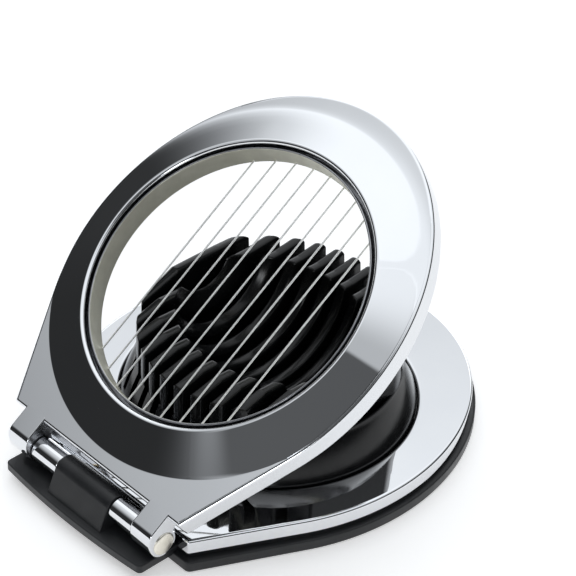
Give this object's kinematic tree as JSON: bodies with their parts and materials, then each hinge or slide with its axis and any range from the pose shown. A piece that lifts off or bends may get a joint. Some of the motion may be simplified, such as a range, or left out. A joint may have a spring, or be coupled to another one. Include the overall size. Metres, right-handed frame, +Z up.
{
  "type": "egg slicer",
  "caption": "Hinged egg slicer: a round wired cutting frame over a slatted, hollowed egg cradle on a flat oval base.",
  "frame": {"origin": "on the table plane, under the middle of the round egg cradle", "axes": "+Z up; X along the hinge; +Y from the hinge towards the free (lift) edge of the frame"},
  "size_m": [0.1014, 0.1252, 0.08],
  "materials": {
    "chrome_plating": "mirror-polished chrome plating on a die-cast shell",
    "black_plastic": "semi-gloss moulded black plastic",
    "wire_steel": "bright drawn stainless wire",
    "ferrule_brass": "plain crimped brass",
    "screw_steel": "zinc-plated steel",
    "pin_nickel": "warm satin nickel"
  },
  "bodies": {
    "base": {"bottom_tray": "black_plastic", "base_plate": "chrome_plating", "egg_cradle": "black_plastic", "cradle_slat_1": "black_plastic", "cradle_slat_2": "black_plastic", "cradle_slat_3": "black_plastic", "cradle_slat_4": "black_plastic", "cradle_slat_5": "black_plastic", "cradle_slat_6": "black_plastic", "cradle_slat_7": "black_plastic", "cradle_slat_8": "black_plastic", "cradle_slat_9": "black_plastic", "cradle_slat_10": "black_plastic", "cradle_slat_11": "black_plastic", "cradle_slat_12": "black_plastic", "base_screws": "screw_steel", "hinge_pin": "pin_nickel"},
    "frame": {"cutting_frame": "chrome_plating", "wire_carrier": "chrome_plating", "cutting_wire_1": "wire_steel", "cutting_wire_2": "wire_steel", "cutting_wire_3": "wire_steel", "cutting_wire_4": "wire_steel", "cutting_wire_5": "wire_steel", "cutting_wire_6": "wire_steel", "cutting_wire_7": "wire_steel", "cutting_wire_8": "wire_steel", "cutting_wire_9": "wire_steel", "wire_ferrules_front": "ferrule_brass", "wire_ferrules_rear": "ferrule_brass", "carrier_screws": "screw_steel"}
  },
  "joints": [
    {"name": "frame_hinge", "type": "hinge", "parent": "base", "child": "frame", "pos_m": [0, -0.0594, 0.0092], "axis": [1, 0, 0], "range_deg": [-34.6, 60.4]}
  ]
}
